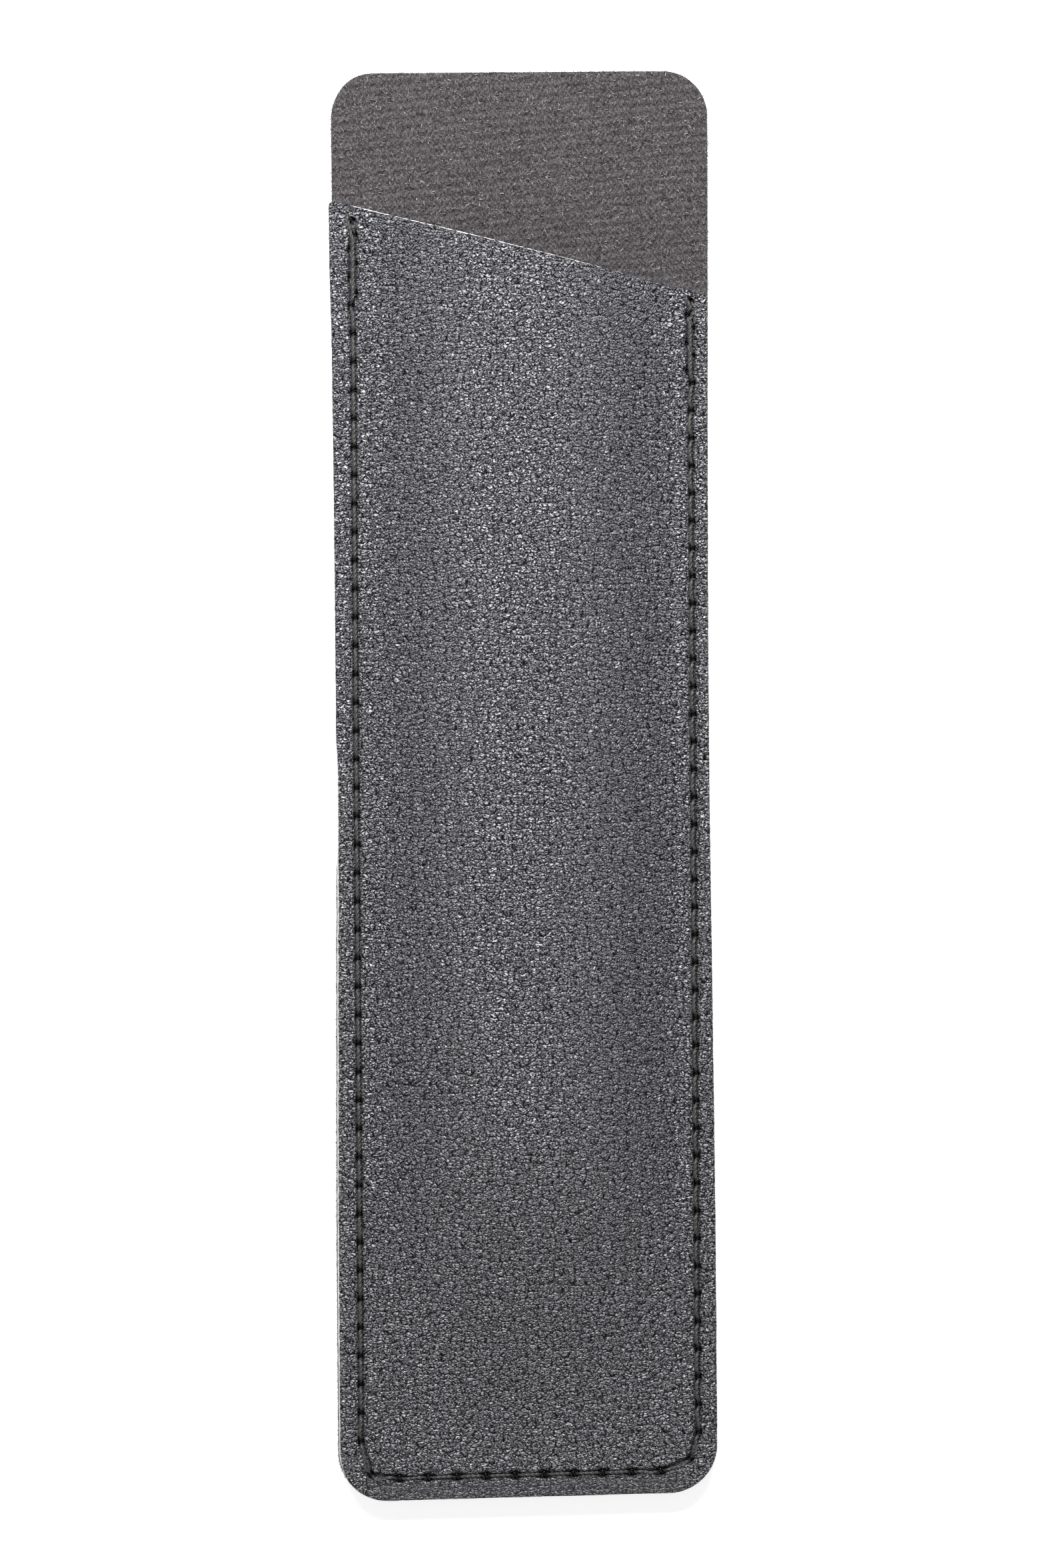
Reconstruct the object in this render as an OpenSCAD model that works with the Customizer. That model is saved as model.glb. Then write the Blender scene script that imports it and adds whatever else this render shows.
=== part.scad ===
// Single pen sleeve. Two panels cut from laminated grain leatherette are sewn together by one
// lockstitch seam that runs down the left side, along the bottom and up the right side.
// The back panel is longer, and its bare upper part is the tongue above the slanted mouth.
// The sleeve lies on its back: X runs across it, Y towards the tongue, Z up. Millimetres.

/* [Panels] */
// Width of both panels
sleeve_w = 42.5; // [38:0.5:60]
// Length of the back panel, with its tongue
back_l = 160; // [156:1:180]
// Height of the mouth's left end above the sleeve's bottom
mouth_left = 145.8; // [130:0.2:146]
// Height of the mouth's right end above the sleeve's bottom
mouth_right = 134.8; // [125:0.2:146]
// Radius of the tongue's two corners
top_r = 5.1; // [3:0.1:8]
// Radius of the two bottom corners
bottom_r = 5.5; // [4:0.1:7]
// Rise of the bottom edge from its left corner to its right corner, as it was cut
bottom_rise = 0.65; // [0:0.05:1.5]

/* [Leatherette] */
// Thickness of the embossed grain skin
skin_t = 0.35; // [0.3:0.05:0.6]
// Thickness of the pale core, which shows as a line on the cut edges
core_t = 0.4; // [0.3:0.05:0.8]
// Thickness of the brushed lining
lining_t = 0.35; // [0.25:0.05:0.6]

/* [Pocket] */
// Clear height under the front panel's crown at the mouth
crown_mouth = 5.2; // [3:0.1:9]
// Clear height under the crown where the rise from the bottom seam ends
crown_low = 4.7; // [3:0.1:9]
// Length over which the front panel rises from the bottom seam
rise_l = 36; // [25:1:50]
// Flatness of the crown across the sleeve: a larger value is flatter on top
crown_flat = 2.6; // [2:0.1:4]

/* [Seam] */
// Distance of the seam from the left edge
seam_in_left = 2.6; // [2.2:0.05:4]
// Distance of the seam from the right edge
seam_in_right = 2.15; // [2.1:0.05:4]
// Distance of the seam from the bottom edge
seam_in_bottom = 2.5; // [2.2:0.05:4]
// Stitch length on the left side
stitch_left = 3.175; // [2.8:0.025:4]
// Stitch length along the bottom
stitch_bottom = 3.28; // [2.8:0.02:4]
// Stitch length on the right side
stitch_right = 3.1; // [2.8:0.02:4]
// First stitch hole below the mouth, on the left
start_left = 1.7; // [1:0.1:3]
// Last stitch hole below the mouth, on the right
start_right = 1.2; // [1:0.1:3]
// Stitches that are sewn twice at each end of the seam
tack_stitches = 3; // [1:1:6]

/* [Thread] */
// Thickness of the thread inside the stitch holes
thread_d = 0.36; // [0.3:0.02:0.4]
// Distance of a thread's two legs from the middle of their hole
leg_out = 0.4; // [0.4:0.02:0.5]

/* [Hidden] */
$fn = 48;

half_w = sleeve_w / 2;
half_l = back_l / 2;

// Levels of the six plies, from the table up
panel_t = skin_t + core_t + lining_t;
back_core_z = skin_t;
back_lining_z = skin_t + core_t;
meet_z = panel_t;
front_core_z = meet_z + lining_t;
front_skin_z = front_core_z + core_t;
face_z = 2 * panel_t;

// The bottom edge is tangent to both bottom corners, so it is parallel to the line of their centres
left_c = [-half_w + bottom_r, -half_l + bottom_r];
right_c = [half_w - bottom_r, left_c.y + bottom_rise];
edge_slope = bottom_rise / (right_c.x - left_c.x);
edge_a = atan(edge_slope);
edge_foot = bottom_r * [sin(edge_a), -cos(edge_a)];
function bottom_y(x) = left_c.y + edge_slope * (x - left_c.x) - bottom_r / cos(edge_a);

// The mouth is one straight slanted cut
mouth_slope = (mouth_right - mouth_left) / sleeve_w;
function mouth_y(x) = -half_l + mouth_left + mouth_slope * (x + half_w);

// Stitch holes, numbered from the mouth's left end round to its right end
corner_run = 4.2;        // the straight runs stop this far before a corner
left_turn = [1.1, 0.5];  // the single hole that turns the left corner, from the runs' crossing
right_turn = [0.9, 1.25];
seam_l = -half_w + seam_in_left;
seam_r = half_w - seam_in_right;
function seam_y(x) = bottom_y(x) + seam_in_bottom;
function spaced(a, b, pitch) =
    let (n = round(norm(b - a) / pitch)) [for (k = [0:n]) a + (b - a) * k / n];
left_end = [seam_l, seam_y(seam_l) + corner_run];
right_end = [seam_r, seam_y(seam_r) + corner_run];
bottom_ends = [for (x = [seam_l + corner_run, seam_r - corner_run]) [x, seam_y(x)]];
seam = concat(
    spaced([seam_l, mouth_y(seam_l) - start_left], left_end, stitch_left),
    [[seam_l + left_turn.x, seam_y(seam_l) + left_turn.y]],
    spaced(bottom_ends[0], bottom_ends[1], stitch_bottom),
    [[seam_r - right_turn.x, seam_y(seam_r) + right_turn.y]],
    spaced(right_end, [seam_r, mouth_y(seam_r) - start_right], stitch_right));
last = len(seam) - 1;

function unit(v) = v / norm(v);
function turned(v, a) = [v.x * cos(a) - v.y * sin(a), v.x * sin(a) + v.y * cos(a)];
function heading(i) = unit(seam[min(i + 1, last)] - seam[max(i - 1, 0)]);
function inward(i) = turned(heading(i), 90);

// The seam is tacked at both ends: the thread comes back beside itself, half a stitch off.
// Each entry is [hole, heading], in the order in which the needle meets them.
tack_gap = 2 * leg_out;
tack_shift = 1.5;
function tacked(i) = i <= tack_stitches || i >= last - tack_stitches;
function tack_hole(i, way) = seam[i] + inward(i) * tack_gap / 2 + way * tack_shift * heading(i);
holes = concat(
    [for (k = [tack_stitches:-1:1]) [tack_hole(k, -1), -heading(k)]],
    [[seam[0], turned(-inward(0), -45)]],
    [for (i = [1:last - 1]) [seam[i] - inward(i) * (tacked(i) ? tack_gap / 2 : 0), heading(i)]],
    [[seam[last], turned(inward(last), -45)]],
    [for (k = [1:tack_stitches]) [tack_hole(last - k, 1), -heading(last - k)]]);
hole_play = 0.03;  // room round a thread's two legs in their hole
hole_r = leg_out + thread_d / 2 + hole_play;

// The stitches are drawn into a shallow channel, which is deeper in the back, so that the
// sleeve rests flat on the back panel and not on its thread
channel_w = 1.1;
front_channel = 0.08;
back_channel = 0.27;
cutter_h = 1;

// On the surface a strand flattens to this half width and half height
flat_rw = 0.2;
flat_rh = 0.12;
hook = thread_d / 2 + 0.02;  // each thread hooks the other this far past the panels' meeting
bend = 0.1;                  // how far a strand runs on before it dips into its hole
strand_gap = 0.01;           // clearance between a strand and what it lies on
mitre_limit = 1.45;          // a strand's section stretches this much at most where it bends

// The raised part of the front panel
foot_gap = hole_r + 0.15;  // from the stitches' line to the raised part
foot_l = seam_l + tack_gap / 2 + foot_gap;
foot_r = seam_r - tack_gap / 2 - foot_gap;
foot_y = seam_y(seam_r) + right_turn.y + foot_gap;
foot_x = (foot_l + foot_r) / 2;
foot_hw = (foot_r - foot_l) / 2;
dome_cols = 16;
rise_rows = 8;
long_rows = 3;
dome_rows = rise_rows + long_rows;

skin_colour = [0.24, 0.24, 0.25];
core_colour = [0.80, 0.77, 0.73];
lining_colour = [0.30, 0.27, 0.27];
thread_colour = [0.12, 0.12, 0.13];

// Outlines

module corner(at, r) {
    translate(at) circle(r);
}

module bottom_corners() {
    corner(left_c, bottom_r);
    corner(right_c, bottom_r);
}

module back_outline() {
    polygon([[-half_w, left_c.y], left_c + edge_foot, right_c + edge_foot, [half_w, right_c.y],
             [half_w, half_l - top_r], [half_w - top_r, half_l], [-half_w + top_r, half_l],
             [-half_w, half_l - top_r]]);
    bottom_corners();
    corner([-half_w + top_r, half_l - top_r], top_r);
    corner([half_w - top_r, half_l - top_r], top_r);
}

module front_outline() {
    polygon([[-half_w, left_c.y], left_c + edge_foot, right_c + edge_foot, [half_w, right_c.y],
             [half_w, mouth_y(half_w)], [-half_w, mouth_y(-half_w)]]);
    bottom_corners();
}

module stitch_holes() {
    for (h = holes) translate(h[0]) circle(hole_r);
}

// Seam channel

module channel_run(a, b) {
    run = b - a;
    translate(a) circle(d = channel_w);
    translate(b) circle(d = channel_w);
    translate(a) rotate(atan2(run.y, run.x)) translate([0, -channel_w / 2])
        square([norm(run), channel_w]);
}

module seam_channel() {
    turns = [seam[0], left_end, [seam_l + left_turn.x, seam_y(seam_l) + left_turn.y],
             bottom_ends[0], bottom_ends[1],
             [seam_r - right_turn.x, seam_y(seam_r) + right_turn.y], right_end, seam[last]];
    for (i = [1:len(turns) - 1]) channel_run(turns[i - 1], turns[i]);
    for (side = [1, -1]) {
        out = inward(0) * side * tack_gap / 2;
        channel_run(seam[0] + out, seam[tack_stitches] + out);
        channel_run(seam[last] + out, seam[last - tack_stitches] + out);
    }
}

// Front panel: a flat seam margin round a raised middle

function lift(x, y) =
    let (u = min(1, abs(x - foot_x) / foot_hw),
         v = min(1, (y - foot_y) / rise_l),
         along = (y - foot_y) / (mouth_y(foot_x) - foot_y),
         crown = crown_low + (crown_mouth - crown_low) * along)
    crown * pow(1 - pow(u, crown_flat), 2) * (3 - 2 * v) * v * v;

function dome_x(i) = foot_l + (foot_r - foot_l) * i / dome_cols;
function dome_y(i, j) =
    j <= rise_rows ? foot_y + rise_l * j / rise_rows
                   : let (low = foot_y + rise_l)
                     low + (mouth_y(dome_x(i)) - low) * (j - rise_rows) / long_rows;
function dome_point(i, j, z) = [dome_x(i), dome_y(i, j), z + lift(dome_x(i), dome_y(i, j))];

module raised_middle(z0, z1) {
    across = dome_cols + 1;
    sheet = across * (dome_rows + 1);
    points = [for (z = [z0, z1]) for (j = [0:dome_rows]) for (i = [0:dome_cols])
              dome_point(i, j, z)];
    under = [for (j = [0:dome_rows - 1]) for (i = [0:dome_cols - 1])
             let (a = j * across + i) each [[a, a + 1, a + across + 1], [a, a + across + 1, a + across]]];
    over = [for (f = under) [f[0] + sheet, f[2] + sheet, f[1] + sheet]];
    rim = concat([for (i = [0:dome_cols - 1]) [i + 1, i]],
                 [for (j = [0:dome_rows - 1]) [j * across, (j + 1) * across]],
                 [for (i = [0:dome_cols - 1]) [dome_rows * across + i, dome_rows * across + i + 1]],
                 [for (j = [0:dome_rows - 1]) [(j + 2) * across - 1, (j + 1) * across - 1]]);
    walls = [for (e = rim) each [[e[0], e[1], e[1] + sheet], [e[0], e[1] + sheet, e[0] + sheet]]];
    polyhedron(points, concat(under, over, walls));
}

module flat_margin(z0, z1) {
    above = 10;  // past the mouth's edge
    translate([0, 0, z0]) linear_extrude(z1 - z0) difference() {
        front_outline();
        polygon([[foot_l, foot_y], [foot_r, foot_y], [foot_r, mouth_y(foot_r) + above],
                 [foot_l, mouth_y(foot_l) + above]]);
        stitch_holes();
    }
}

module front_ply(z0, z1) {
    flat_margin(z0, z1);
    raised_middle(z0, z1);
}

// Back panel

module back_ply(z0, z1) {
    translate([0, 0, z0]) linear_extrude(z1 - z0) difference() {
        back_outline();
        stitch_holes();
    }
}

// Lockstitch. Each thread dips into every hole as a U. The needle thread's U hangs from above
// and the bobbin thread's stands up from below, turned a quarter turn, and each holds the other.

// Ring: [centre, sideways direction, half width, half height]
function ring(at, z, n, rw, rh) = [[at.x, at.y, z], [-n.y, n.x, 0], rw, rh];

function needle_rings(h) =
    let (n = turned(h[1], 45), r = thread_d / 2, top = face_z - front_channel + flat_rh + strand_gap,
         low = meet_z - hook)
    [ring(h[0] - (leg_out + bend) * n, top, n, flat_rw, flat_rh),
     ring(h[0] - leg_out * n, top - bend, n, r, r),
     ring(h[0] - leg_out * n, low, n, r, r),
     ring(h[0] + leg_out * n, low, n, r, r),
     ring(h[0] + leg_out * n, top - bend, n, r, r),
     ring(h[0] + (leg_out + bend) * n, top, n, flat_rw, flat_rh)];

function bobbin_rings(h) =
    let (n = turned(h[1], -45), r = thread_d / 2, top = meet_z + hook,
         low = flat_rh + strand_gap)
    [ring(h[0] - leg_out * n, low, n, flat_rw, flat_rh),
     ring(h[0] - leg_out * n, top, n, r, r),
     ring(h[0] + leg_out * n, top, n, r, r),
     ring(h[0] + leg_out * n, low, n, flat_rw, flat_rh)];

// Points of one ring, mitred between the strands on its two sides
function ring_points(rings, k, sides) =
    let (c = rings[k][0],
         before = k > 0 ? unit(c - rings[k - 1][0]) : unit(rings[k + 1][0] - c),
         after = k < len(rings) - 1 ? unit(rings[k + 1][0] - c) : before,
         t = unit(before + after),
         side = unit(rings[k][1] - (rings[k][1] * t) * t),
         up = cross(t, side),
         mitre = min(mitre_limit, 1 / (t * after)))
    [for (s = [0:sides - 1])
     let (a = 360 * (s + 0.5) / sides)
     c + rings[k][2] * cos(a) * side + rings[k][3] * mitre * sin(a) * up];

module tube(rings, sides) {
    n = len(rings);
    points = [for (k = [0:n - 1]) each ring_points(rings, k, sides)];
    skin = [for (k = [0:n - 2]) for (s = [0:sides - 1])
            let (a = k * sides + s, b = k * sides + (s + 1) % sides)
            each [[a, a + sides, b + sides], [a, b + sides, b]]];
    ends = [for (s = [1:sides - 2]) each [[0, s, s + 1],
            [(n - 1) * sides, (n - 1) * sides + s + 1, (n - 1) * sides + s]]];
    polyhedron(points, concat(skin, ends));
}

// The thread's two cut ends stay inside their holes
function inside_ends(rings, cut) = [for (k = [cut:len(rings) - 1 - cut]) rings[k]];

// Sub-parts

module back_skin() {
    color(skin_colour) difference() {
        back_ply(0, back_core_z);
        translate([0, 0, back_channel - cutter_h]) linear_extrude(cutter_h) seam_channel();
    }
}

module back_core() {
    color(core_colour) back_ply(back_core_z, back_lining_z);
}

module back_lining() {
    color(lining_colour) back_ply(back_lining_z, meet_z);
}

module front_lining() {
    color(lining_colour) front_ply(meet_z, front_core_z);
}

module front_core() {
    color(core_colour) front_ply(front_core_z, front_skin_z);
}

module front_skin() {
    color(skin_colour) difference() {
        front_ply(front_skin_z, face_z);
        translate([0, 0, face_z - front_channel]) linear_extrude(cutter_h) seam_channel();
    }
}

module needle_thread() {
    color(thread_colour) tube(inside_ends([for (h = holes) each needle_rings(h)], 2), 6);
}

module bobbin_thread() {
    color(thread_colour) tube(inside_ends([for (h = holes) each bobbin_rings(h)], 1), 5);
}

echo(stitch_holes = len(holes), gap_between_hooked_threads = 2 * hook - thread_d);

back_skin();
back_core();
back_lining();
front_lining();
front_core();
front_skin();
needle_thread();
bobbin_thread();
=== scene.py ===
"""A single pen sleeve: two panels of laminated leatherette, sewn together round three sides.

The sleeve lies on its back: X runs across it, Y towards the tongue, Z up. Metres.
"""

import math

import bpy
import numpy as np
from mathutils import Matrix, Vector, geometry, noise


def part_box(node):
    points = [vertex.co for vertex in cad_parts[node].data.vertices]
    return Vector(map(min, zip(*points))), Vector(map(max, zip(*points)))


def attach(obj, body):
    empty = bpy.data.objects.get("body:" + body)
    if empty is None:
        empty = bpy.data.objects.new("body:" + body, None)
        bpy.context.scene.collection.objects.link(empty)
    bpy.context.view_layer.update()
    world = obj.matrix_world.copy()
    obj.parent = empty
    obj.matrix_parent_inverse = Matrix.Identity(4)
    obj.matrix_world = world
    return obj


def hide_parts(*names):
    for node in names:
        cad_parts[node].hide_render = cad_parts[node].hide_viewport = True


bl_info = {
    "name": "Single Pen Sleeve",
    "version": (1, 0, 0),
    "blender": (4, 5, 0),
    "location": "3D View > Sidebar > Pen Sleeve",
    "description": "Models and finishes a sewn leatherette sleeve for one pen",
    "category": "Add Mesh",
}

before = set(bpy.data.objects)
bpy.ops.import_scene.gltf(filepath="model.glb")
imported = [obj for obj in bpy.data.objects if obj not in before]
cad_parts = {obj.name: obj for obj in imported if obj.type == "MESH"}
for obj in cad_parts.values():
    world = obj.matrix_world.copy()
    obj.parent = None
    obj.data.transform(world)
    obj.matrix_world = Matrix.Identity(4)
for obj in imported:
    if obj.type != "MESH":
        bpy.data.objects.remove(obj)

MM = 0.001
BODY = "root"
FRONT = "front"
BACK = "back"

# Outer size and the levels of the plies, from the frame
HALF_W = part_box("back_skin")[1].x
HALF_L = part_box("back_skin")[1].y
BACK_LEVELS = [0.0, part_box("back_core")[0].z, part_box("back_lining")[0].z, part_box("front_lining")[0].z]
MEET_Z = BACK_LEVELS[3]
FRONT_LEVELS = [MEET_Z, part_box("front_core")[0].z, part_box("front_skin")[0].z, 2 * MEET_Z]
FACE_Z = FRONT_LEVELS[3]

# The panels' cut outline
MOUTH_LEFT = 145.8 * MM
MOUTH_RIGHT = 134.8 * MM
TOP_R = 5.1 * MM
BOTTOM_R = 5.5 * MM
BOTTOM_RISE = 0.65 * MM
MOUTH_LEFT_R = 0.55 * MM
MOUTH_RIGHT_R = 0.3 * MM
LEFT_C = np.array([-HALF_W + BOTTOM_R, -HALF_L + BOTTOM_R])
RIGHT_C = np.array([HALF_W - BOTTOM_R, LEFT_C[1] + BOTTOM_RISE])
EDGE_SLOPE = BOTTOM_RISE / (RIGHT_C[0] - LEFT_C[0])
EDGE_ANGLE = math.atan(EDGE_SLOPE)
MOUTH_SLOPE = (MOUTH_RIGHT - MOUTH_LEFT) / (2 * HALF_W)
MOUTH_ANGLE = math.atan(MOUTH_SLOPE)
WAIST_Y = 12 * MM  # where the sides are cut in most, and how far to both ends that reaches
WAIST_HALF_L = 72 * MM
BACK_IN = 0.25 * MM  # how far the cut of each panel strays on the left, near the mouth
FRONT_OUT = 0.12 * MM
SLANT_TOP = 7 * MM  # between these two places along Y the left edge was cut on a slant
SLANT_LOW = -78.6 * MM
STUCK_TOP = -7 * MM  # and from here down the lining stands out under it
ROLL_R = 0.16 * MM  # the knife rolled a skin's rim over by this radius
ROLL_GAPS = (0.03 * MM, 0.08 * MM, ROLL_R)

# The raised middle of the front panel
CROWN_MOUTH = 5.2 * MM
CROWN_LOW = 4.7 * MM
RISE_L = 36 * MM
CROWN_FLAT = 2.6

# The seam
SEAM_IN_LEFT = 2.6 * MM
SEAM_IN_RIGHT = 2.15 * MM
SEAM_IN_BOTTOM = 2.5 * MM
STITCH_LEFT = 3.175 * MM
STITCH_BOTTOM = 3.28 * MM
STITCH_RIGHT = 3.1 * MM
START_LEFT = 1.7 * MM
START_RIGHT = 1.2 * MM
TACK_STITCHES = 3
TACK_SHIFT = 1.5 * MM
TACK_OUT = 0.24 * MM
LEAN = 0.22 * MM
LEG_OUT = 0.4 * MM
LEG_R = 0.18 * MM
HOOK = LEG_R + 0.02 * MM
PUNCH_R = LEG_OUT + LEG_R + 0.03 * MM
CORNER_RUN = 4.2 * MM
LEFT_TURN = np.array([1.1, 0.5]) * MM
RIGHT_TURN = np.array([0.9, 1.25]) * MM
LOW_HOLE = 0.3  # the bottom row's holes are this much larger
DRAWN_SHARES = (0.0, 0.35, 0.88, 1.0)  # how far each level follows the stitches, the skin's face most
SEAM_L = -HALF_W + SEAM_IN_LEFT
SEAM_R = HALF_W - SEAM_IN_RIGHT

# How finely the sheets and the threads are meshed
RIM_STEP = 0.16 * MM
FINE_STEP = 0.22 * MM
WIDE_STEP = 0.62 * MM
HIDDEN_STEP = 1.6 * MM
HOLE_SIDES = 16
PUNCH_SIDES = 12
THREAD_SIDES = 12

# Fibres on the cut edges: how many on a square metre, and how thick
EDGE_FIBRES = 20 / MM ** 2
EDGE_FIBRE_R = 0.022 * MM

# The stage. The photographed sleeve lies a little off the picture's middle, and slightly turned
KEY_AT = (-0.02, 0.23, 0.2)
KEY_AIM = (0.0, 0.01, 0.0)
KEY_W = 0.26
KEY_L = 0.15
CAMERA_OFF = (-0.04 * MM, 0.19 * MM)
CAMERA_TURN = math.radians(-0.42)
FLOOR_HALF = 1.5
FLOOR_LIFT = 0.71  # what the floor gives off where it is seen
FLOOR_Z = -0.02 * MM


def linear(code):
    """Linear RGBA of an sRGB hex colour such as 4B4A4C."""
    parts = [int(code[i:i + 2], 16) / 255 for i in (0, 2, 4)]
    return tuple(c / 12.92 if c <= 0.04045 else ((c + 0.055) / 1.055) ** 2.4 for c in parts) + (1.0,)


def length(name, description, default):
    """A length that the user can change, in metres."""
    return bpy.props.FloatProperty(name=name, description=description, default=default, unit="LENGTH",
                                   precision=5, min=0.0)


def colour(name, description, code):
    """A colour that the user can change."""
    return bpy.props.FloatVectorProperty(name=name, description=description, default=linear(code),
                                         subtype="COLOR", size=4, min=0.0, max=1.0)


class PenSleeveSizes(bpy.types.PropertyGroup):
    """Sizes of the cut edges, the seam and the threads"""
    waist: length("Waist", "How far each side was cut in at mid length", 0.34 * MM)
    core_show: length("Core Shown", "Width of the pale core that the slanted cut shows", 0.12 * MM)
    groove_depth: length("Groove Depth", "How deep the stitches are drawn in", 0.33 * MM)
    hole_l: length("Hole Length", "Half length of a stitch hole along the seam", 0.52 * MM)
    hole_w: length("Hole Width", "Half width of a stitch hole", 0.32 * MM)
    thread_r: length("Thread Radius", "Radius of the thread on the surface", 0.23 * MM)
    lay: length("Thread Lay", "Length of one turn of the thread's three plies", 1.7 * MM)


class PenSleeveGrain(bpy.types.PropertyGroup):
    """Sizes of the embossed grain and of the brushed lining"""
    cell: length("Grain Scale", "Width of one scale of the embossed grain", 0.42 * MM)
    fold: length("Fold", "Distance between the longer folds of the grain", 0.7 * MM)
    pore: length("Pore", "Distance between the fine pores in the grain", 0.27 * MM)
    relief: length("Relief", "Height of the grain", 0.2 * MM)
    rib: length("Rib Pitch", "Distance between the rows of the knitted lining", 1.0 * MM)
    fibre_l: length("Fibre Length", "Length of a fibre of the nap", 0.34 * MM)
    fibre_r: length("Fibre Radius", "Radius of a fibre of the nap", 0.03 * MM)
    fibre_density: bpy.props.FloatProperty(
        name="Fibres", description="Fibres on a square millimetre of nap", default=13.0, min=0.0)


class PenSleeveColours(bpy.types.PropertyGroup):
    """Colours of the materials"""
    skin: colour("Skin", "Leatherette on the grain's raised parts", "58575D")
    # The crease colour is painted shade, laid in the creases, pores and stitch holes of the leatherette
    crease_shade: colour("Crease", "Leatherette in the creases and pores", "0C0B0E")
    core: colour("Core", "Core of the laminate", "FFFFFF")
    nap: colour("Nap", "Brushed lining", "171315")
    # The fibre colour also lightens the lining's raised nap and ribs: pale fibre ends with a painted
    # highlight
    fibre: colour("Fibre", "Single fibres of the nap", "B8B1B3")
    edge: colour("Edge Fibre", "Fibres along the cut edges", "4A3B36")
    # The thread colour is a painted highlight, laid on streaks of the black thread's filaments
    thread: colour("Thread", "Filaments of the sewing thread that catch the light", "6C6965")
    floor: colour("Floor", "Floor under the sleeve", "F2F2F2")


class PenSleeveStage(bpy.types.PropertyGroup):
    """Camera and light"""
    camera_z: length("Camera Height", "Height of the camera above the sleeve's face", 1.6)
    view_l: length("View Length", "Length that the long side of the picture shows", 175.6 * MM)
    key_power: bpy.props.FloatProperty(name="Key Power", description="Power of the key light",
                                       default=1.92, min=0.0, unit="POWER")
    fill: bpy.props.FloatProperty(name="Fill", description="Strength of the light from all round",
                                  default=0.26, min=0.0)


# Arrays of points

def smooth(t):
    """Eases from 0 to 1."""
    t = np.clip(t, 0, 1)
    return t * t * (3 - 2 * t)


def unit(v):
    """A vector of length 1 the same way."""
    return v / np.hypot(*v)


def turned(v, degrees):
    """A vector turned anticlockwise."""
    a = math.radians(degrees)
    return np.array([v[0] * math.cos(a) - v[1] * math.sin(a), v[0] * math.sin(a) + v[1] * math.cos(a)])


def arc(centre, radius, start, end, steps=24):
    """Points of an arc between two angles in degrees."""
    angles = np.radians(np.linspace(start, end, steps + 1))
    return np.array(centre) + radius * np.column_stack([np.cos(angles), np.sin(angles)])


def evenly(points, step):
    """Points spaced evenly round a closed line."""
    closed = np.vstack([points, points[:1]])
    run = np.concatenate([[0], np.cumsum(np.hypot(*np.diff(closed, axis=0).T))])
    places = np.linspace(0, run[-1], int(round(run[-1] / step)), endpoint=False)
    return np.column_stack([np.interp(places, run, closed[:, k]) for k in (0, 1)])


def outward(loop):
    """Outward unit normals of an anticlockwise closed line."""
    along = np.roll(loop, -1, axis=0) - np.roll(loop, 1, axis=0)
    along /= np.hypot(*along.T)[:, None]
    return np.column_stack([along[:, 1], -along[:, 0]])


def ripple(points, size, seed):
    """Smooth noise from -1 to 1 at each point, with features of the given size."""
    return np.array([noise.noise(Vector((x / size, y / size, seed * 7.3))) for x, y in points])


def path_distance(points, path):
    """Distance of each point from an open polyline."""
    best = np.full(len(points), 1.0)
    for a, b in zip(path[:-1], path[1:]):
        run = b - a
        t = np.clip((points - a) @ run / (run @ run), 0, 1)
        best = np.minimum(best, np.hypot(*(points - a - t[:, None] * run).T))
    return best


# The seam, as it was sewn

def bottom_y(x):
    """The bottom edge's height in the outline, which rises a little to the right."""
    return LEFT_C[1] + EDGE_SLOPE * (x - LEFT_C[0]) - BOTTOM_R / math.cos(EDGE_ANGLE)


def mouth_y(x):
    """The slanted mouth's height in the outline."""
    return -HALF_L + MOUTH_LEFT + MOUTH_SLOPE * (x + HALF_W)


def seam_y(x):
    """The bottom row of stitches, along the bottom edge."""
    return bottom_y(x) + SEAM_IN_BOTTOM


def spaced(a, b, pitch):
    """Stitch holes from one point to another."""
    a, b = np.array(a), np.array(b)
    count = int(math.floor(np.hypot(*(b - a)) / pitch + 0.5))
    return [a + (b - a) * k / count for k in range(count + 1)]


def seam_line():
    """Stitch holes from the mouth's left end round to its right end."""
    left = spaced([SEAM_L, mouth_y(SEAM_L) - START_LEFT], [SEAM_L, seam_y(SEAM_L) + CORNER_RUN],
                  STITCH_LEFT)
    ends = [[x, seam_y(x)] for x in (SEAM_L + CORNER_RUN, SEAM_R - CORNER_RUN)]
    right = spaced([SEAM_R, seam_y(SEAM_R) + CORNER_RUN], [SEAM_R, mouth_y(SEAM_R) - START_RIGHT],
                   STITCH_RIGHT)
    left_turn = np.array([SEAM_L + LEFT_TURN[0], seam_y(SEAM_L) + LEFT_TURN[1]])
    right_turn = np.array([SEAM_R - RIGHT_TURN[0], seam_y(SEAM_R) + RIGHT_TURN[1]])
    return left + [left_turn] + spaced(*ends, STITCH_BOTTOM) + [right_turn] + right


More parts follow.
